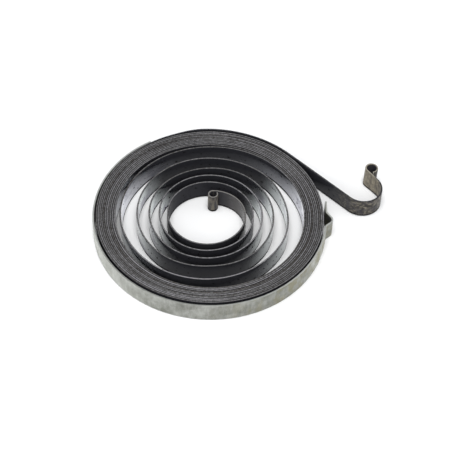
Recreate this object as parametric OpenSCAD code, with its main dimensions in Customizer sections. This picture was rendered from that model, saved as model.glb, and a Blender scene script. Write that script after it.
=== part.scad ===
// Recoil starter spring: a flat steel strip wound on its edge into a tight pack of turns,
// with looser turns inside the pack, a rolled eye at each end and a hooked tail.
// An open sheet-metal band clips round the pack and keeps it wound.
// Millimetres. The coil lies flat on z = 0 and is wound about the Z axis.
// The tail leaves the pack at +X and runs along -Y.

/* [Strip] */
// Width of the spring strip, which is the height of the coil
strip_w = 5.8; // [4:0.1:10]
// Thickness of the spring strip
strip_t = 0.45; // [0.3:0.01:0.55]

/* [Pack] */
// Outer diameter of the tight pack where the tail leaves it
pack_d = 63; // [56:0.2:90]
// Half turns in the tight pack
pack_half_turns = 22; // [11:1:25]
// Clear gap between neighbouring turns of the pack
pack_gap = 0.05; // [0.03:0.01:0.08]

/* [Loose turns] */
// How much tighter the half turn that comes away from the pack is than the last one in it
release_step = 1.1; // [0.5:0.05:1.4]
// How much tighter the first loose half turn is than the one that comes away
loose_step = 2.6; // [2:0.05:3.2]
// Half turns that stand loose inside the pack
loose_half_turns = 8; // [5:1:10]
// Mean radius of the innermost bend, where the strip would lie round the hub
hub_r = 10.5; // [9:0.1:13]

/* [Inner end] */
// Angle of the innermost bend
hub_angle = 132; // [100:1:150]
// Mean radius of the bend that leads in to the inner eye
lead_r = 8.85; // [7:0.05:9.5]
// Angle of the bend that leads in to the inner eye
lead_angle = 92; // [60:1:100]
// Bore radius of the inner eye
inner_eye_r = 1; // [0.8:0.05:1.4]

/* [Tail and hook] */
// Where the outermost turn comes free of the pack, as an angle before the tail
free_start = 68; // [60:1:75]
// How far the freed turn stands off from where it lay
free_lift = 0.57; // [0.2:0.01:0.9]
// Length of each of the two easy bends by which it comes free
free_bend_l = 6; // [5:0.5:8]
// Angle by which the tail leans in towards the pack
tail_lean = 1.2; // [0:0.1:3]
// Straight length of the tail between the pack and the hook
tail_l = 23.4; // [20:0.2:40]
// Mean radius of the hook's bend
hook_r = 5.3; // [4:0.1:8]
// Angle of the hook's bend
hook_angle = 171.5; // [150:0.5:180]
// Straight length between the hook's bend and the outer eye
return_l = 4.2; // [2:0.1:8]
// Bore radius of the outer eye
outer_eye_r = 1.38; // [0.9:0.02:1.6]
// Angle through which each eye is rolled
eye_roll = 295; // [280:1:300]

/* [Retaining band] */
// Height of the band
band_w = 5.8; // [4:0.1:10]
// Thickness of the band's sheet
band_t = 0.45; // [0.3:0.05:0.8]
// Clear gap between the pack, where it is widest, and the band
band_clearance = 0.2; // [0.15:0.05:0.4]
// How far the band, being open on one side, stands off the pack's centre
band_shift = 0.25; // [0:0.01:0.28]
// Direction in which it stands off, as an angle past the tail
band_shift_angle = 222; // [200:1:240]
// Where the band starts, as an angle past the place where the outermost turn comes free
band_start = 8; // [2:1:20]
// Angle that the band goes round the pack before its bump
band_wrap = 229.5; // [215:0.5:240]
// Slope of the bump's sides
bump_slope = 42; // [25:1:50]
// Straight length of the bump's rising side
bump_rise = 1.25; // [0.5:0.05:2]
// Straight length of the bump's side towards the tip
bump_fall = 1.8; // [0.5:0.05:2.2]
// Bend radius at the foot of the bump
bump_foot_r = 1.3; // [0.8:0.1:2]
// Bend radius at the crest of the bump
bump_crest_r = 1.5; // [0.8:0.1:2.5]
// Bend that turns the band's tip back along the pack
tip_angle = 34; // [25:1:45]
// Straight length of the band's tip
tip_l = 3.5; // [2:0.1:6]

/* [Hidden] */

// Steel stock that is left in a rolled eye and bored away, so that the bore is round
eye_stock = 0.03;
// Facets of a full turn of the coil and of a bore, and the largest step of a formed bend in degrees
turn_facets = 72;
bore_facets = 48;
bend_step = 6;
// The cut of a bore runs past the strip's edges by this much
bore_run = 1;
// Half turns meet on a grid this fine, so that their end faces match exactly
meet_grid = 0.002;

// Coil
pack_pitch = strip_t + pack_gap;
exit_r = pack_d / 2 - strip_t / 2;
half_turns = pack_half_turns + 1 + loose_half_turns;
last_pack_r = exit_r - (pack_half_turns - 0.5) * pack_pitch / 2;
release_r = last_pack_r - release_step;
first_loose_r = release_r - loose_step;
loose_ratio = pow(first_loose_r / hub_r, 1 / loose_half_turns);

function half_turn_r(k) =
    k < pack_half_turns ? exit_r - (k + 0.5) * pack_pitch / 2
    : k == pack_half_turns ? release_r
    : first_loose_r / pow(loose_ratio, k - pack_half_turns - 1);

function on_grid(v) = round(v / meet_grid) * meet_grid;

// Distances from the axis at which the strip crosses the X axis, alternately at +X and -X
crossings = [
    for (k = 0, a = on_grid(exit_r); k <= half_turns; a = on_grid(2 * half_turn_r(k) - a), k = k + 1) a
];

// Formed bends: a pose is [x, y, heading], and a bend is [straight feed, mean radius, angle],
// with left turns positive
function fed(p, feed) = [p[0] + feed * cos(p[2]), p[1] + feed * sin(p[2]), p[2]];

function bend_centre(p, r, angle) =
    [p[0] - sign(angle) * r * sin(p[2]), p[1] + sign(angle) * r * cos(p[2])];

function bent(p, r, angle) =
    let (c = bend_centre(p, r, angle), h = p[2] + angle, s = sign(angle))
    angle == 0 ? p : [c[0] + s * r * sin(h), c[1] - s * r * cos(h), h];

function follow(p, bends, i = 0) =
    i == len(bends) ? [p] :
    let (b = bends[i], q = fed(p, b[0]), steps = ceil(abs(b[2]) / bend_step))
    concat(
        b[0] > 0 ? [p] : [],
        [for (j = [0 : 1 : steps - 1]) bent(q, b[1], b[2] * j / steps)],
        follow(bent(q, b[1], b[2]), bends, i + 1)
    );

function end_pose(p, bends) = let (path = follow(p, bends)) path[len(path) - 1];

// Inner end: from the last half turn round the hub and in to the eye
inner_side = half_turns % 2 == 0 ? 1 : -1;
inner_start = [inner_side * crossings[half_turns], 0, inner_side * 90];
inner_bends = [[0, hub_r, hub_angle], [0, lead_r, lead_angle]];
inner_roll_r = inner_eye_r - eye_stock + strip_t / 2;
inner_eye_bend = [0, inner_roll_r, eye_roll];
inner_eye_at = bend_centre(end_pose(inner_start, inner_bends), inner_roll_r, eye_roll);

// Outer end: free of the pack by two easy bends, along the tail, round the hook
// and back to the eye, which rolls the other way
first_r = (crossings[0] + crossings[1]) / 2;
first_x = (crossings[0] - crossings[1]) / 2;
free_from = [first_x + first_r * cos(free_start), first_r * sin(free_start), free_start - 90];
flatter_r = 1 / (1 / first_r - free_lift / pow(free_bend_l, 2));
tighter_r = 1 / (1 / first_r + free_lift / pow(free_bend_l, 2));
flatter_angle = free_bend_l / flatter_r * 180 / PI;
tighter_angle = free_bend_l / tighter_r * 180 / PI;
free_r = first_r + free_lift;
tail_bends = [
    [0, flatter_r, -flatter_angle],
    [0, tighter_r, -tighter_angle],
    [0, free_r, flatter_angle + tighter_angle - free_start - tail_lean],
    [tail_l, hook_r, hook_angle],
    [return_l, hook_r, 0]
];
outer_roll_r = outer_eye_r - eye_stock + strip_t / 2;
outer_eye_bend = [0, outer_roll_r, -eye_roll];
outer_eye_at = bend_centre(end_pose(free_from, tail_bends), outer_roll_r, -eye_roll);

// Band: round the pack, out and in again over the bump, and a short straight tip
band_r = pack_d / 2 + band_clearance + band_t / 2;
band_angle = free_start + band_start;
band_from = [
    band_shift * cos(band_shift_angle) + band_r * cos(band_angle),
    band_shift * sin(band_shift_angle) + band_r * sin(band_angle),
    band_angle + 90
];
band_bends = [
    [0, band_r, band_wrap],
    [0, bump_foot_r, -bump_slope],
    [bump_rise, bump_crest_r, 2 * bump_slope],
    [bump_fall, bump_foot_r, -tip_angle],
    [tip_l, bump_foot_r, 0]
];

module formed_strip(path, thickness, width) {
    left = [for (p = path) [p[0] - thickness / 2 * sin(p[2]), p[1] + thickness / 2 * cos(p[2])]];
    right = [for (p = path) [p[0] + thickness / 2 * sin(p[2]), p[1] - thickness / 2 * cos(p[2])]];
    last = len(path) - 1;
    linear_extrude(width)
        polygon(concat(left, [for (i = [last : -1 : 0]) right[i]]));
}

module half_turn(k) {
    side = k % 2 == 0 ? 1 : -1;
    skip = k == 0 ? free_start : 0;
    mean_r = (crossings[k] + crossings[k + 1]) / 2;
    translate([side * (crossings[k] - crossings[k + 1]) / 2, 0, 0])
        rotate_extrude(angle = 180 - skip, start = side > 0 ? skip : 180, $fn = turn_facets)
            translate([mean_r - strip_t / 2, 0])
                square([strip_t, strip_w]);
}

module eye_bore(at, r) {
    translate([at[0], at[1], -bore_run])
        cylinder(r = r, h = strip_w + 2 * bore_run, $fn = bore_facets);
}

module inner_end() {
    difference() {
        formed_strip(follow(inner_start, concat(inner_bends, [inner_eye_bend])), strip_t, strip_w);
        eye_bore(inner_eye_at, inner_eye_r);
    }
}

module outer_end() {
    difference() {
        formed_strip(follow(free_from, concat(tail_bends, [outer_eye_bend])), strip_t, strip_w);
        eye_bore(outer_eye_at, outer_eye_r);
    }
}

module spring_strip() {
    color([0.24, 0.24, 0.27]) {
        outer_end();
        for (k = [0 : half_turns - 1]) half_turn(k);
        inner_end();
    }
}

module retaining_band() {
    color([0.66, 0.68, 0.64])
        formed_strip(follow(band_from, band_bends), band_t, band_w);
}

spring_strip();
retaining_band();
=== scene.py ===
import math
import random

import bpy
from mathutils import Matrix, Vector


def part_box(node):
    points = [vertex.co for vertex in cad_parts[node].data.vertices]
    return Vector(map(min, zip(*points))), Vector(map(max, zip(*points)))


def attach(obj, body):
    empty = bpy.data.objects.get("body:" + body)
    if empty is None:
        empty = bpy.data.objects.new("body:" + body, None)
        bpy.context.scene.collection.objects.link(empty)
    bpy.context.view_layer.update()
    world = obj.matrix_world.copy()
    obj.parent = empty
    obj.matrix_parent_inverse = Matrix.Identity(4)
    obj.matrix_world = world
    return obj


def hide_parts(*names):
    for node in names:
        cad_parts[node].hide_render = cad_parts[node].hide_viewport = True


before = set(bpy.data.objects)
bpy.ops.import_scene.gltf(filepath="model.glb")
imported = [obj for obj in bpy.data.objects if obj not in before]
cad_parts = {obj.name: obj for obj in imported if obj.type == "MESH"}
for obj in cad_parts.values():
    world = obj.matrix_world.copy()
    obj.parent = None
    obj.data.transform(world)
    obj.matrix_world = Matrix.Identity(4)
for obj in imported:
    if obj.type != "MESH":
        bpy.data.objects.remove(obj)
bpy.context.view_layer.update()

MM = 0.001

# The strip and the coil, with the sizes of the solids
STRIP_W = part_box("spring_strip")[1].z
STRIP_T = 0.45 * MM
PACK_D = 63 * MM
PACK_HALF_TURNS = 22
PACK_GAP = 0.05 * MM
RELEASE_STEP = 1.1 * MM
LOOSE_STEP = 2.6 * MM
LOOSE_HALF_TURNS = 8
HUB_R = 10.5 * MM
HUB_ANGLE = 132
LEAD_R = 8.85 * MM
LEAD_ANGLE = 92
INNER_EYE_R = 1 * MM
FREE_START = 68
FREE_LIFT = 0.57 * MM
FREE_BEND_L = 6 * MM
TAIL_LEAN = 1.2
TAIL_L = 23.4 * MM
HOOK_R = 5.3 * MM
HOOK_ANGLE = 171.5
RETURN_L = 4.2 * MM
OUTER_EYE_R = 1.38 * MM
EYE_ROLL = 295

# The retaining band, with the sizes of its solid
BAND_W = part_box("retaining_band")[1].z
BAND_T = 0.45 * MM
BAND_CLEARANCE = 0.2 * MM
BAND_SHIFT = 0.25 * MM
BAND_SHIFT_ANGLE = 222
BAND_START = 8
BAND_WRAP = 229.5
BUMP_SLOPE = 42
BUMP_RISE = 1.25 * MM
BUMP_FALL = 1.8 * MM
BUMP_FOOT_R = 1.3 * MM
BUMP_CREST_R = 1.5 * MM
TIP_ANGLE = 34
TIP_L = 3.5 * MM

# How the pack's turns lie on each other: the least gap, the mean one, how strongly
# the gaps crowd towards the least, and the seed that they are drawn with
TIGHT_GAP = 0.006 * MM
MEAN_GAP = 0.02 * MM
GAP_CROWDING = 3
LAY_SEED = 5

# Where turns stray from their places: how far outwards, at what angle and how far to either side,
# and the distances from the axis at which this starts, is full and ends
STRAYS = (
    (0.35 * MM, -63, 40, 24 * MM, 26 * MM, 90 * MM),
    (-0.9 * MM, 34, 95, 23.2 * MM, 25.6 * MM, 31.3 * MM),
    (0.62 * MM, 137, 42, 22.6 * MM, 24 * MM, 25.4 * MM),
    (0.5 * MM, -65, 35, 19.6 * MM, 21.6 * MM, 23.2 * MM),
    (0.35 * MM, -6, 18, 19 * MM, 20.6 * MM, 22.2 * MM),
    (-0.65 * MM, -140, 34, 18 * MM, 19.4 * MM, 21 * MM),
    (-0.38 * MM, 60, 35, 15.2 * MM, 16.7 * MM, 18.2 * MM),
    (-0.3 * MM, 37, 45, 10.2 * MM, 11.5 * MM, 12.8 * MM),
)

# Where the turn that comes away from the pack leans, its lower edge straying further
LEANS = (
    (-0.5 * MM, 102, 55, 23.2 * MM, 24.4 * MM, 25.4 * MM),
    (-0.55 * MM, -23, 40, 24.2 * MM, 25.5 * MM, 26.2 * MM),
)

# How far the lower edge of the outer eye lies from under the upper one, and where this fades
EYE_LEAN = Vector((-0.64, -0.26, 0)) * MM
EYE_LEAN_FULL = 6 * MM
EYE_LEAN_END = 18 * MM

# How the sheet was slit and rolled: rounded edges, and strips that never lie quite level
STRIP_EDGE_R = 0.15 * MM
BAND_EDGE_R = 0.08 * MM
EDGE_POINTS = 3
STRIP_LIFT = 0.16 * MM
BAND_LIFT = 0.05 * MM
LIFTS_PER_M = 18

# Steps of the paths, and the angle from which an edge is drawn sharp
COIL_STEP = 2
BEND_STEP = 4
STRAIGHT_STEP = 1 * MM
CREASE_ANGLE = math.radians(9)


def turned(pose, radius, angle):
    """The pose [x, y, heading] after a bend, with left turns positive."""
    x, y, heading = pose
    side = math.copysign(radius, angle)
    a, b = math.radians(heading), math.radians(heading + angle)
    x += side * (math.sin(b) - math.sin(a))
    y -= side * (math.cos(b) - math.cos(a))
    return x, y, heading + angle


def fed(pose, length):
    """The pose after a straight feed."""
    x, y, heading = pose
    a = math.radians(heading)
    return x + length * math.cos(a), y + length * math.sin(a), heading


def follow(pose, bends, step=BEND_STEP):
    """Poses along a strip that is fed straight and bent, [feed, radius, angle] at a time."""
    poses = [pose]
    for feed, radius, angle in bends:
        feeds = math.ceil(feed / STRAIGHT_STEP)
        poses += [fed(pose, feed * i / feeds) for i in range(1, feeds + 1)]
        pose = poses[-1]
        turns = math.ceil(abs(angle) / step)
        poses += [turned(pose, radius, angle * i / turns) for i in range(1, turns + 1)]
        pose = poses[-1]
    return poses


def uneven_gaps(draw, count):
    """Gaps between the pack's turns on one side: many almost closed, a few wide."""
    shares = [draw.random() ** GAP_CROWDING for k in range(count)]
    spare = count * (MEAN_GAP - TIGHT_GAP)
    return [TIGHT_GAP + spare * share / sum(shares) for share in shares]


def half_turn_radii():
    """Mean radius of each half turn of the coil, from the tail inwards."""
    pitch = STRIP_T + PACK_GAP
    exit_r = PACK_D / 2 - STRIP_T / 2
    release = exit_r - (PACK_HALF_TURNS - 0.5) * pitch / 2 - RELEASE_STEP
    first = release - LOOSE_STEP
    ratio = (HUB_R / first) ** (1 / LOOSE_HALF_TURNS)
    draw = random.Random(LAY_SEED)
    gaps = [uneven_gaps(draw, PACK_HALF_TURNS // 2) for side in range(2)]
    crossings = [exit_r, exit_r - pitch / 2]
    for k in range(PACK_HALF_TURNS - 1):
        crossings.append(crossings[k] - STRIP_T - gaps[k % 2][k // 2])
    pack = [(a + b) / 2 for a, b in zip(crossings, crossings[1:])]
    even_crossing = exit_r - PACK_HALF_TURNS * pitch / 2
    away = (crossings[-1] + 2 * release - even_crossing) / 2
    return pack + [away] + [first * ratio ** k for k in range(LOOSE_HALF_TURNS)]


def strayed(pose, strays):
    """A pose of the coil, moved to where the turn lies."""
    x, y, heading = pose
    r, angle = math.hypot(x, y), math.degrees(math.atan2(y, x))
    push = 1
    for out, direction, spread, start, full, end in strays:
        off = (angle - direction + 180) % 360 - 180
        share = min((r - start) / (full - start), (end - r) / (end - full), 1)
        push += out / r * max(share, 0) * math.exp(-(off / spread) ** 2)
    return x * push, y * push, heading


def spring_path():
    """Poses along the whole strip, from the outer eye to the inner one."""
    first_r, *inner_radii = half_turn_radii()
    first_x = PACK_D / 2 - STRIP_T / 2 - first_r
    a = math.radians(FREE_START)
    start = (first_x + first_r * math.cos(a), first_r * math.sin(a), FREE_START - 90)
    ease = FREE_LIFT / FREE_BEND_L ** 2
    flatter, tighter = 1 / first_r - ease, 1 / first_r + ease
    flatter_angle = math.degrees(FREE_BEND_L * flatter)
    tighter_angle = math.degrees(FREE_BEND_L * tighter)
    freed = follow(start, [
        (0, 1 / flatter, -flatter_angle),
        (0, 1 / tighter, -tighter_angle),
        (0, first_r + FREE_LIFT, flatter_angle + tighter_angle - FREE_START - TAIL_LEAN),
    ], COIL_STEP)
    tail = follow(freed[-1], [
        (TAIL_L, HOOK_R, HOOK_ANGLE),
        (RETURN_L, OUTER_EYE_R + STRIP_T / 2, -EYE_ROLL),
    ])
    outer = [(x, y, heading + 180) for x, y, heading in reversed(freed + tail[1:])]
    half_turns = [(0, first_r, 180 - FREE_START)] + [(0, r, 180) for r in inner_radii]
    coil = follow(outer[-1], half_turns, COIL_STEP)
    inner = follow(coil[-1], [
        (0, HUB_R, HUB_ANGLE),
        (0, LEAD_R, LEAD_ANGLE),
        (0, INNER_EYE_R + STRIP_T / 2, EYE_ROLL),
    ])
    return outer + [strayed(pose, STRAYS) for pose in coil[1:]] + inner[1:]


def band_path():
    """Poses along the retaining band, from its plain end over the bump to its tip."""
    r = PACK_D / 2 + BAND_CLEARANCE + BAND_T / 2
    start = FREE_START + BAND_START
    a, off = math.radians(start), math.radians(BAND_SHIFT_ANGLE)
    x = BAND_SHIFT * math.cos(off) + r * math.cos(a)
    y = BAND_SHIFT * math.sin(off) + r * math.sin(a)
    return follow((x, y, start + 90), [
        (0, r, BAND_WRAP),
        (0, BUMP_FOOT_R, -BUMP_SLOPE),
        (BUMP_RISE, BUMP_CREST_R, 2 * BUMP_SLOPE),
        (BUMP_FALL, BUMP_FOOT_R, -TIP_ANGLE),
        (TIP_L, BUMP_FOOT_R, 0),
    ])


def lengths_along(poses):
    """The length of the path from its start to each pose."""
    lengths = [0]
    for a, b in zip(poses, poses[1:]):
        lengths.append(lengths[-1] + math.dist(a[:2], b[:2]))
    return lengths


def spring_leans(poses):
    """How far the strip's lower edge lies from under the upper one at each pose."""
    leans = []
    for pose, along in zip(poses, lengths_along(poses)):
        foot = strayed(pose, LEANS)
        turn_lean = Vector((foot[0] - pose[0], foot[1] - pose[1], 0))
        share = min(max((EYE_LEAN_END - along) / (EYE_LEAN_END - EYE_LEAN_FULL), 0), 1)
        leans.append(turn_lean + EYE_LEAN * share * share * (3 - 2 * share))
    return leans


class Wire:
    """An output of a node. Arithmetic on it, from either side, adds Math nodes to its tree."""

    def __init__(self, tree, socket):
        self.tree = tree
        self.socket = socket

    def out(self, name):
        """Another output of the same node."""
        return Wire(self.tree, self.socket.node.outputs[name])

    def math(self, operation, *values):
        return self.tree.add("ShaderNodeMath", {"operation": operation}, dict(enumerate(values)))

    def __add__(self, other):
        return self.math("ADD", self, other)

    def __radd__(self, other):
        return self.math("ADD", other, self)

    def __sub__(self, other):
        return self.math("SUBTRACT", self, other)

    def __rsub__(self, other):
        return self.math("SUBTRACT", other, self)

    def __mul__(self, other):
        return self.math("MULTIPLY", self, other)

    def __rmul__(self, other):
        return self.math("MULTIPLY", other, self)

    def __truediv__(self, other):
        return self.math("DIVIDE", self, other)

    def __rtruediv__(self, other):
        return self.math("DIVIDE", other, self)

    def __gt__(self, other):
        return self.math("GREATER_THAN", self, other)

    def __lt__(self, other):
        return self.math("LESS_THAN", self, other)

    def __abs__(self):
        return self.math("ABSOLUTE", self)

    def most(self, other):
        """The larger of the two."""
        return self.math("MAXIMUM", self, other)

    def ease(self, low, high):
        """0 below low, 1 above high, and smooth between them."""
        sockets = {"Value": self, "From Min": low, "From Max": high}
        return self.tree.add("ShaderNodeMapRange", {"interpolation_type": "SMOOTHSTEP"}, sockets)


# Where the low, middle and high values of a noise lie
NOISE_SPREAD = 0.38, 0.5, 0.62


class Tree:
    """A node tree, and the one way that nodes are added to it."""

    def __init__(self, nodes, links):
        self.nodes = nodes
        self.links = links

    def add(self, kind, settings=None, sockets=None):
        """A new node, with its settings made before its sockets are filled or linked."""
        node = self.nodes.new(kind)
        for name, value in (settings or {}).items():
            if name == "stops":
                self.set_stops(node.color_ramp, value)
            else:
                setattr(node, name, value)
        for name, value in (sockets or {}).items():
            if isinstance(value, Wire):
                self.links.new(value.socket, node.inputs[name])
            else:
                node.inputs[name].default_value = value
        return Wire(self, node.outputs[0]) if node.outputs else None

    @staticmethod
    def set_stops(ramp, stops):
        while len(ramp.elements) < len(stops):
            ramp.elements.new(1)
        for element, (place, colour) in zip(ramp.elements, stops):
            element.position = place
            element.color = colour

    def vector(self, operation, *values):
        return self.add("ShaderNodeVectorMath", {"operation": operation}, dict(enumerate(values)))

    def here(self):
        """The place on the piece."""
        return self.add("ShaderNodeTexCoord").out("Object")

    def normal(self):
        return self.add("ShaderNodeNewGeometry").out("Normal")

    def upright_part(self, vector):
        return self.add("ShaderNodeSeparateXYZ", None, {"Vector": vector}).out("Z")

    def outward(self, axis=(0, 0, 0)):
        """1 on faces that look away from an upright axis, and 0 on those that look towards it."""
        off = self.vector("SUBTRACT", self.here(), axis)
        return self.vector("DOT_PRODUCT", off, self.normal()).out("Value") > 0

    def from_axis(self):
        """The distance from the winding axis."""
        return self.vector("LENGTH", self.vector("MULTIPLY", self.here(), (1, 1, 0))).out("Value")

    def noise(self, vector, scale, detail=3.0, roughness=0.5):
        sockets = {"Vector": vector, "Scale": scale, "Detail": detail, "Roughness": roughness}
        return self.add("ShaderNodeTexNoise", None, sockets)

    def shades(self, noise, colours):
        """Three colours, over the low, middle and high values of a noise."""
        stops = list(zip(NOISE_SPREAD, colours))
        return self.add("ShaderNodeValToRGB", {"stops": stops}, {"Fac": noise})

    def blend(self, mask, first, second):
        """The first colour where the mask is 0 and the second where it is 1."""
        sockets = {"Factor": mask, 6: first, 7: second}
        node = self.add("ShaderNodeMix", {"data_type": "RGBA"}, sockets).socket.node
        return Wire(self, node.outputs[2])

    def surface(self, sockets):
        return self.add("ShaderNodeBsdfPrincipled", None, sockets)

    def mixed(self, mask, first, second):
        """The first shader where the mask is 0 and the second where it is 1."""
        return self.add("ShaderNodeMixShader", None, {0: mask, 1: first, 2: second})

    def close(self, shader):
        """The shader as the material's output."""
        self.add("ShaderNodeOutputMaterial", None, {"Surface": shader})


def rgb(red, green, blue):
    return red, green, blue, 1


def new_finish(name):
    """A bare material and its tree."""
    material = bpy.data.materials.new(name)
    material.use_nodes = True
    material.node_tree.nodes.clear()
    return material, Tree(material.node_tree.nodes, material.node_tree.links)


def strip_places(tree):
    """What finishes read: place along the strip, height, and how far a face looks up or down."""
    along = tree.add("ShaderNodeAttribute", {"attribute_name": "along"}).out("Fac")
    return along, tree.upright_part(tree.here()), abs(tree.upright_part(tree.normal()))


def on_strip(tree, along, height, stretch):
    """A vector that runs along the strip, with patterns drawn out along it."""
    return tree.add("ShaderNodeCombineXYZ", None, {"X": along / stretch, "Y": height})


def eye_axis(end, bore_r):
    """The middle of the eye that is rolled at that end of the strip."""
    x, y, heading = turned(end, bore_r + STRIP_T / 2, 180)
    return (x + end[0]) / 2, (y + end[1]) / 2, 0


# Where the strip's finish changes, as distances from its outer end: a change starts and is full
CUT_END = 0.01 * MM, 0.05 * MM
# the next two spans bound the painted shade on the outer roll's free end and inside the outer eye
OUTER_ROLL = 3.5 * MM, 5 * MM
OUTER_BORE = 7.6 * MM, 8.4 * MM
OUTER_EYE = 10.5 * MM, 13 * MM
OUTER_TIP = 11 * MM, 18 * MM
OUTER_SOFT = 24 * MM, 36 * MM
OUTER_RUN = 88 * MM, 105 * MM
WOUND_IN = 200 * MM, 250 * MM

# The same, as distances from its inner end
HUB_TURN_START = 110 * MM, 90 * MM
DULL_START = 95 * MM, 70 * MM
HUB_TURN_END = 45 * MM, 25 * MM
INNER_SOFT = 30 * MM, 10 * MM
LEAD_BLUED = 14 * MM, 8.5 * MM
INNER_ROLL = 6.8 * MM, 6 * MM

# The height of the strip's foot, which is painted dark as a contact shadow, and the outermost loose
# walls' distance from the axis
FOOT = 0.55 * MM, 0.75 * MM
OUTERMOST = 23 * MM, 24 * MM

# How far up or down a face looks where it turns into the edge, and where it stops being upright
STRIP_EDGE = 0.86, 0.97
BAND_EDGE = 0.35, 0.8
UPRIGHT_END = 0.05, 0.3

# How low a look along the polish starts to be mirrored, and is mirrored fully,
# and how much sooner and later that is on the outermost walls
GLOSS_START = 0.46
GLOSS_FULL = 0.91
OUTERMOST_SOONER = 0.18
OUTERMOST_LATER = 0.04

# Colours of the strip's faces
BLUED = rgb(0.023, 0.0234, 0.0275)
BLUED_WORN = rgb(0.029, 0.0294, 0.034)
BROWNS = rgb(0.016, 0.015, 0.016), rgb(0.060, 0.054, 0.046), rgb(0.190, 0.172, 0.135)
PURPLE_BLOOM = rgb(0.048, 0.044, 0.053)
TANS = rgb(0.11, 0.097, 0.078), rgb(0.205, 0.181, 0.137), rgb(0.32, 0.285, 0.215)
# painted shade on the free end of the outer roll, inside its eye
ROLL_END_SHADE = rgb(0.016, 0.016, 0.018)
LEAD_IN = rgb(0.072, 0.067, 0.066)
LEAD_IN_BLOOM = rgb(0.096, 0.089, 0.091)
LEAD_IN_BLUED = rgb(0.028, 0.028, 0.033)
ROLL_DARK = rgb(0.045, 0.042, 0.042)
ROLL_TAN = rgb(0.17, 0.152, 0.12)
# painted shade inside the rolled eyes
BORE_SHADE = rgb(0.030, 0.030, 0.038)

# Colours of its slit edges
BARE_EDGES = rgb(0.046, 0.041, 0.036), rgb(0.119, 0.117, 0.117), rgb(0.22, 0.213, 0.224)
EYE_EDGE = rgb(0.27, 0.25, 0.21)
BLUED_EDGE = rgb(0.03, 0.03, 0.033)
INNER_EDGE = rgb(0.22, 0.21, 0.195)
FRESH_CUT = rgb(0.55, 0.53, 0.47)

# Colours of its polish, of the dark matte dirt on it, and of the painted contact shadow along its
# foot
POLISH = rgb(0.86, 0.92, 0.92)
OUTERMOST_POLISH = rgb(0.88, 0.89, 0.95)
STAINED_POLISH = rgb(0.68, 0.68, 0.80)
HUB_GRIME = rgb(0.029, 0.029, 0.034)
# the pits, and the painted contact shadow along the foot
GRIME = rgb(0.012, 0.012, 0.012)


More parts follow.
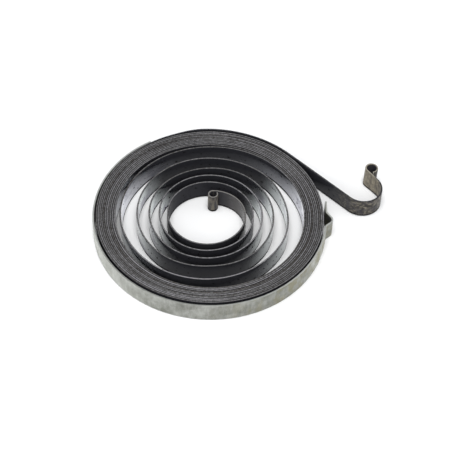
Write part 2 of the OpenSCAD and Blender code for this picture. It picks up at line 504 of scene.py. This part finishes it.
def blued_spring_steel(poses):
    """Black-blued strip with bare slit edges, brown where its ends were softened to be formed, with
    painted shade inside its rolled eyes and a painted contact shadow along its foot.
    """
    material, tree = new_finish("blued_spring_steel")
    along, height, level = strip_places(tree)
    length = lengths_along(poses)[-1]

    def to_inner_end(start, full):
        return along.ease(length - start, length - full)

    edge = level.ease(*STRIP_EDGE)
    # painted contact shadow: 1 along the strip's foot, fading out above it
    foot = 1 - height.ease(*FOOT)
    cut_end = 1 - along.ease(*CUT_END)
    shaded_roll_end = 1 - along.ease(*OUTER_ROLL)
    outer_eye = 1 - along.ease(*OUTER_EYE)
    outer_tip = 1 - along.ease(*OUTER_TIP)
    outer_end = 1 - along.ease(*OUTER_SOFT)
    outer_run = along.ease(*OUTER_EYE) * (1 - along.ease(*OUTER_RUN))
    hub_turn = to_inner_end(*HUB_TURN_START) * (1 - to_inner_end(*HUB_TURN_END))
    dull_end = to_inner_end(*DULL_START)
    inner_end = to_inner_end(*INNER_SOFT)
    inner_roll = to_inner_end(*INNER_ROLL)
    lead_blued = to_inner_end(*LEAD_BLUED) * (1 - inner_roll)
    # Painted shade: the faces inside each rolled eye, which look towards its axis, are darkened
    in_outer_eye = 1 - tree.outward(eye_axis(poses[0], OUTER_EYE_R))
    in_inner_eye = 1 - tree.outward(eye_axis(poses[-1], INNER_EYE_R))
    bore_shade = in_outer_eye * (1 - along.ease(*OUTER_BORE)) + in_inner_eye * inner_roll
    softened = outer_end.most(inner_end * 0.8)

    mottle = tree.noise(on_strip(tree, along, height, 1.2), scale=900, detail=5, roughness=0.65)
    bloom = tree.noise(on_strip(tree, along, height, 1.3), scale=650).ease(0.48, 0.6)
    drawn = tree.noise(on_strip(tree, along, height / 4, 1), scale=1500, detail=4, roughness=0.6)
    cloud = tree.noise(on_strip(tree, along, height, 4), scale=90)
    rolled = tree.noise(on_strip(tree, along, height, 40), scale=2600, detail=2)
    tint = tree.noise(on_strip(tree, along, height, 6), scale=90, detail=2)
    grain = tree.noise(on_strip(tree, along, height, 2), scale=2400, detail=2, roughness=0.7)
    pits = tree.noise(on_strip(tree, along, height, 1.3), scale=1100, detail=1).ease(0.665, 0.705)
    stain = tree.noise(on_strip(tree, along, height, 2), scale=220, roughness=0.6).ease(0.5, 0.68)

    brown = tree.blend(bloom * 0.55, tree.shades(mottle, BROWNS), PURPLE_BLOOM)
    brown = tree.blend(outer_tip * 0.9, brown, tree.shades(0.5 * drawn + 0.5 * mottle, TANS))
    # Painted shade: the free end of the outer roll is darkened
    brown = tree.blend(shaded_roll_end * 0.8, brown, ROLL_END_SHADE)
    lead = tree.blend(bloom, LEAD_IN, LEAD_IN_BLOOM)
    lead = tree.blend(lead_blued * 0.9, lead, LEAD_IN_BLUED)
    roll = tree.blend(drawn.ease(0.4, 0.6), ROLL_DARK, ROLL_TAN)
    lead = tree.blend(inner_roll, lead, roll)
    brown = tree.blend(inner_end, brown, lead)
    brown = tree.blend(bore_shade * 0.9, brown, BORE_SHADE)
    face = tree.blend(softened, tree.blend(cloud, BLUED, BLUED_WORN), brown)

    bare = tree.shades(0.55 * tint + 0.45 * grain, BARE_EDGES)
    bare = tree.blend(outer_eye, bare, EYE_EDGE)
    bare = tree.blend(outer_run, bare, BLUED_EDGE)
    bare = tree.blend(inner_end * 0.6, bare, INNER_EDGE)
    colour = tree.blend(cut_end, tree.blend(edge, face, bare), FRESH_CUT)

    bump = tree.add("ShaderNodeBump", None, {
        "Strength": 0.08, "Distance": 0.02 * MM, "Height": rolled + 0.5 * cloud,
    })
    blued = tree.surface({
        "Base Color": colour,
        "Metallic": 0.15 * edge,
        "Roughness": 0.03 + 0.06 * rolled + 0.4 * edge + 0.35 * softened,
        "Specular IOR Level": 0.15,
        "Normal": bump,
    })

    # The wound part is polished, and mirrors what stands beside it at a low angle
    outward = tree.outward()
    outermost = tree.from_axis().ease(*OUTERMOST) * (1 - outward)
    polish = tree.blend(outermost, POLISH, OUTERMOST_POLISH)
    mirror = tree.surface({
        "Base Color": tree.blend(stain, polish, STAINED_POLISH),
        "Metallic": 1.0,
        "Roughness": 0.02 + 0.05 * rolled,
        "Normal": bump,
    })
    grazing = tree.add("ShaderNodeLayerWeight", None, {"Blend": 0.5}).out("Facing")
    start = GLOSS_START - OUTERMOST_SOONER * outermost
    full = GLOSS_FULL + OUTERMOST_LATER * outermost
    gloss = grazing.ease(start, full)
    wound_in = along.ease(*WOUND_IN)
    upright = 1 - level.ease(*UPRIGHT_END)
    clean = (1 - softened) * (1 - dull_end) * (1 - 0.4 * stain)
    gloss = gloss * (1 - 0.5 * outward) * upright * clean * wound_in
    polished = tree.mixed(gloss, blued, mirror)

    # The pits and the foot's painted contact shadow take a dark matte surface; the hub turn is
    # partly matte too
    pits_and_foot_shade = foot.most(pits * (1 - softened))
    dirt_and_foot_shade = tree.surface({
        "Base Color": tree.blend(pits_and_foot_shade, HUB_GRIME, GRIME),
        "Roughness": 0.9,
        "Specular IOR Level": 0.0,
    })
    dirt_and_foot_shade_share = (1 - edge) * pits_and_foot_shade.most(0.7 * hub_turn)
    tree.close(tree.mixed(dirt_and_foot_shade_share, polished, dirt_and_foot_shade))
    return material


# Where the band's finish changes, as shares of its length: a change starts and is full
# painted highlight on the top edge at the plain end, fading over this span
HIGHLIGHTED_EDGE_END = 0.2, 0.42
# painted light: the band's face is lighter at its plain end and again before its bump, as if light
# fell there from the sides
PAINTED_LIGHT_END = 0.28, 0.56
STAINED = 0.55, 0.8
PAINTED_LIGHT_AGAIN = 0.8, 0.87
PAINTED_LIGHT_AGAIN_END = 0.9, 0.93

# Colours of the band
DULL_ZINC = rgb(0.18, 0.184, 0.16), rgb(0.285, 0.29, 0.265), rgb(0.40, 0.405, 0.38)
# zinc with painted light on it
PAINTED_LIGHT_ZINC = rgb(0.35, 0.357, 0.32), rgb(0.455, 0.465, 0.43), rgb(0.56, 0.57, 0.54)
OLIVE_STAIN = rgb(0.275, 0.255, 0.16)
DULL_EDGE = rgb(0.25, 0.255, 0.24)
# painted highlight on the band's top edge
HIGHLIGHTED_EDGE = rgb(0.5, 0.51, 0.49)
# painted shade on the band's inner face, which looks at the pack across a narrow gap
INNER_FACE_SHADE = rgb(0.03, 0.03, 0.034)


def galvanised_sheet(length):
    """Zinc-coated sheet with upright streaks, stained towards its bump, with painted light at its
    plain end and before its bump, painted highlights on its top edge at both ends, and painted
    shade on its inner face.
    """
    material, tree = new_finish("galvanised_sheet")
    along, height, level = strip_places(tree)

    def past(start, full):
        return along.ease(start * length, full * length)

    edge = level.ease(*BAND_EDGE)
    streaks = tree.noise(on_strip(tree, along, height / 3, 1), scale=900, detail=4, roughness=0.7)
    cloud = tree.noise(on_strip(tree, along, height, 1.5), scale=230, detail=4, roughness=0.6)
    grain = 0.4 * streaks + 0.6 * cloud
    # Painted light: lighter zinc at the plain end and again just before the bump
    painted_light_near_bump = past(*PAINTED_LIGHT_AGAIN) * (1 - past(*PAINTED_LIGHT_AGAIN_END))
    painted_side_light = 1 - past(*PAINTED_LIGHT_END) + 0.75 * painted_light_near_bump
    zinc = tree.blend(painted_side_light, tree.shades(grain, DULL_ZINC), tree.shades(grain, PAINTED_LIGHT_ZINC))
    near_bump = past(*STAINED)
    stain = tree.noise(on_strip(tree, along, height / 2, 1), scale=300, detail=4, roughness=0.7)
    stain = near_bump * stain.ease(0.44, 0.62)
    colour = tree.blend(stain * 0.7, zinc, OLIVE_STAIN)
    # Painted highlight: the top edge is lighter at the plain end and towards the bump
    edge_highlight = near_bump.most(1 - past(*HIGHLIGHTED_EDGE_END))
    colour = tree.blend(edge * 0.7, colour, tree.blend(edge_highlight, DULL_EDGE, HIGHLIGHTED_EDGE))
    # Painted shade: the inner face, away from its edges, is darkened
    shaded_inner_face = (1 - tree.outward()) * (1 - edge)
    colour = tree.blend(shaded_inner_face * 0.6, colour, INNER_FACE_SHADE)
    bump = tree.add("ShaderNodeBump", None, {
        "Strength": 0.15, "Distance": 0.03 * MM, "Height": streaks,
    })
    tree.close(tree.surface({
        "Base Color": colour,
        "Metallic": 0.75,
        "Roughness": 0.42 + 0.15 * cloud + 0.15 * stain,
        "Normal": bump,
    }))
    return material


SWEEP_INPUTS = (
    ("Path", "NodeSocketGeometry"),
    ("Width", "NodeSocketFloat"),
    ("Thickness", "NodeSocketFloat"),
    ("Edge radius", "NodeSocketFloat"),
    ("Edge points", "NodeSocketInt"),
    ("Lift", "NodeSocketFloat"),
    ("Lifts per metre", "NodeSocketFloat"),
    ("Crease angle", "NodeSocketFloat"),
    ("Finish", "NodeSocketMaterial"),
)


def swept_strip_tree():
    """Geometry Nodes that sweep a round-edged strip along a path, standing on its lower edge."""
    group = bpy.data.node_groups.new("strip on edge", "GeometryNodeTree")
    inputs = {}
    for name, kind in SWEEP_INPUTS:
        socket = group.interface.new_socket(name=name, in_out="INPUT", socket_type=kind)
        inputs[name] = socket.identifier
    group.interface.new_socket(name="Strip", in_out="OUTPUT", socket_type="NodeSocketGeometry")
    tree = Tree(group.nodes, group.links)
    given = tree.add("NodeGroupInput")

    curve = tree.add("GeometryNodeMeshToCurve", None, {"Mesh": given.out("Path")})
    curve = tree.add("GeometryNodeSetCurveNormal", {"mode": "Z_UP"}, {"Curve": curve})
    section = tree.add("GeometryNodeCurvePrimitiveQuadrilateral", None, {
        "Width": given.out("Thickness"), "Height": given.out("Width"),
    })
    section = tree.add("GeometryNodeFilletCurve", {"mode": "POLY"}, {
        "Curve": section, "Radius": given.out("Edge radius"), "Count": given.out("Edge points"),
    })
    swept = tree.add("GeometryNodeCurveToMesh", None, {
        "Curve": curve, "Profile Curve": section, "Fill Caps": True,
    })
    angle = tree.add("GeometryNodeInputMeshEdgeAngle").out("Unsigned Angle")
    swept = tree.add("GeometryNodeSetShadeSmooth", {"domain": "EDGE"}, {
        "Geometry": swept, "Selection": angle > given.out("Crease angle"), "Shade Smooth": False,
    })

    along = tree.add("GeometryNodeInputNamedAttribute", {"data_type": "FLOAT"}, {"Name": "along"})
    wave = tree.add("ShaderNodeTexNoise", {"noise_dimensions": "1D"}, {
        "W": along, "Scale": given.out("Lifts per metre"), "Detail": 1.0,
    }).ease(0.3, 0.7)
    lift = given.out("Width") / 2 + wave * given.out("Lift")
    lift = tree.add("ShaderNodeCombineXYZ", None, {"Z": lift})
    height = tree.upright_part(tree.add("GeometryNodeInputPosition"))
    lean = tree.add("GeometryNodeInputNamedAttribute", {"data_type": "FLOAT_VECTOR"}, {
        "Name": "lean",
    })
    lean = tree.add("ShaderNodeVectorMath", {"operation": "SCALE"}, {
        "Vector": lean, "Scale": 0.5 - height / given.out("Width"),
    })
    swept = tree.add("GeometryNodeSetPosition", None, {
        "Geometry": swept, "Offset": tree.vector("ADD", lift, lean),
    })
    swept = tree.add("GeometryNodeRealizeInstances", None, {"Geometry": swept})
    swept = tree.add("GeometryNodeSetMaterial", None, {
        "Geometry": swept, "Material": given.out("Finish"),
    })
    tree.add("NodeGroupOutput", None, {"Strip": swept})
    return group, inputs


def path_mesh(name, poses, leans):
    """A chain of edges along the poses. Each point knows its place along the strip and its lean."""
    mesh = bpy.data.meshes.new(name)
    points = [(x, y, 0) for x, y, heading in poses]
    mesh.from_pydata(points, [(i, i + 1) for i in range(len(points) - 1)], [])
    along = mesh.attributes.new("along", "FLOAT", "POINT")
    along.data.foreach_set("value", lengths_along(poses))
    lean = mesh.attributes.new("lean", "FLOAT_VECTOR", "POINT")
    lean.data.foreach_set("vector", [value for vector in leans for value in vector])
    return mesh


def make_strip(name, poses, leans, values):
    """A piece swept along the poses, as a plain mesh."""
    piece = bpy.data.objects.new(name, path_mesh(name, poses, leans))
    bpy.context.scene.collection.objects.link(piece)
    sweep = piece.modifiers.new("sweep", "NODES")
    sweep.node_group, inputs = swept_strip_tree()
    for label, value in values.items():
        sweep[inputs[label]] = value
    graph = bpy.context.evaluated_depsgraph_get()
    mesh = bpy.data.meshes.new_from_object(piece.evaluated_get(graph))
    piece.modifiers.remove(sweep)
    piece.data = mesh
    return piece


def make_spring():
    poses = spring_path()
    spring = make_strip("spring", poses, spring_leans(poses), {
        "Width": STRIP_W,
        "Thickness": STRIP_T,
        "Edge radius": STRIP_EDGE_R,
        "Edge points": EDGE_POINTS,
        "Lift": STRIP_LIFT,
        "Lifts per metre": LIFTS_PER_M,
        "Crease angle": CREASE_ANGLE,
        "Finish": blued_spring_steel(poses),
    })
    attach(spring, "root")
    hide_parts("spring_strip")


def make_band():
    poses = band_path()
    band = make_strip("band", poses, [(0, 0, 0)] * len(poses), {
        "Width": BAND_W,
        "Thickness": BAND_T,
        "Edge radius": BAND_EDGE_R,
        "Edge points": EDGE_POINTS,
        "Lift": BAND_LIFT,
        "Lifts per metre": LIFTS_PER_M,
        "Crease angle": CREASE_ANGLE,
        "Finish": galvanised_sheet(lengths_along(poses)[-1]),
    })
    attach(band, "root")
    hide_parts("retaining_band")


# The stage
FLOOR_HALF = 2.5
FLOOR_DROP = 0.08 * MM
FLOOR_PALE = rgb(0.9, 0.9, 0.9)


def make_floor():
    corners = (-1, -1), (1, -1), (1, 1), (-1, 1)
    points = [(x * FLOOR_HALF, y * FLOOR_HALF, -FLOOR_DROP) for x, y in corners]
    mesh = bpy.data.meshes.new("floor")
    mesh.from_pydata(points, [], [(0, 1, 2, 3)])
    floor = bpy.data.objects.new("floor", mesh)
    bpy.context.scene.collection.objects.link(floor)
    material, tree = new_finish("pale_floor")
    tree.close(tree.surface({
        "Base Color": FLOOR_PALE, "Roughness": 0.9, "Specular IOR Level": 0.1,
    }))
    mesh.materials.append(material)


# The camera, with the picture's frame
PICTURE_PX = 452
SENSOR_MM = 36
LENS_PX = 1443.1
CAMERA_AZIMUTH = -48
CAMERA_ELEVATION = 49.42
CAMERA_ROLL = 1.886
CAMERA_DISTANCE = 400.4 * MM
CAMERA_AIM = Vector((3.224, -3.197, 0)) * MM
CAMERA_CLIP = 0.01


def towards(azimuth, elevation):
    """The direction from the coil to what stands at that azimuth and elevation."""
    a, e = math.radians(azimuth), math.radians(elevation)
    return Vector((math.sin(a) * math.cos(e), -math.cos(a) * math.cos(e), math.sin(e)))


def looking_at(aim, place, roll=0):
    """A matrix at the place that looks at the aim, turned by the roll."""
    back = (place - aim).normalized()
    right = Vector((0, 0, 1)).cross(back).normalized()
    up = back.cross(right)
    turn = Matrix((right, up, back)).transposed().to_4x4()
    return Matrix.Translation(place) @ turn @ Matrix.Rotation(math.radians(roll), 4, "Z")


def make_camera():
    data = bpy.data.cameras.new("camera")
    data.sensor_width = SENSOR_MM
    data.lens = LENS_PX / PICTURE_PX * SENSOR_MM
    data.clip_start = CAMERA_CLIP
    camera = bpy.data.objects.new("camera", data)
    bpy.context.scene.collection.objects.link(camera)
    place = CAMERA_AIM + towards(CAMERA_AZIMUTH, CAMERA_ELEVATION) * CAMERA_DISTANCE
    camera.matrix_world = looking_at(CAMERA_AIM, place, CAMERA_ROLL)
    bpy.context.scene.camera = camera


# The light: an even glow, and softboxes at an azimuth from the camera's, an elevation
# and a distance, with their side and power
GLOW = rgb(0.95, 0.97, 1.0)
GLOW_STRENGTH = 0.42
SOFTBOXES = (
    ("overhead softbox", 0, 80, 1.0, 0.5, 6.8),
    ("front softbox", 0, 40, 0.9, 0.35, 1.9),
    ("left softbox", -85, 25, 0.9, 0.35, 2.2),
    ("right softbox", 85, 25, 0.9, 0.35, 1.1),
)


def make_softbox(name, azimuth, elevation, distance, side, power):
    data = bpy.data.lights.new(name, "AREA")
    data.shape = "RECTANGLE"
    data.size = data.size_y = side
    data.energy = power
    light = bpy.data.objects.new(name, data)
    bpy.context.scene.collection.objects.link(light)
    place = towards(CAMERA_AZIMUTH + azimuth, elevation) * distance
    light.matrix_world = looking_at(Vector(), place)


def light_studio():
    world = bpy.data.worlds.new("studio")
    world.use_nodes = True
    world.node_tree.nodes.clear()
    tree = Tree(world.node_tree.nodes, world.node_tree.links)
    glow = tree.add("ShaderNodeBackground", None, {"Color": GLOW, "Strength": GLOW_STRENGTH})
    tree.add("ShaderNodeOutputWorld", None, {"Surface": glow})
    bpy.context.scene.world = world
    for softbox in SOFTBOXES:
        make_softbox(*softbox)
    bpy.context.scene.view_settings.view_transform = "Standard"


make_spring()
make_band()
make_floor()
make_camera()
light_studio()
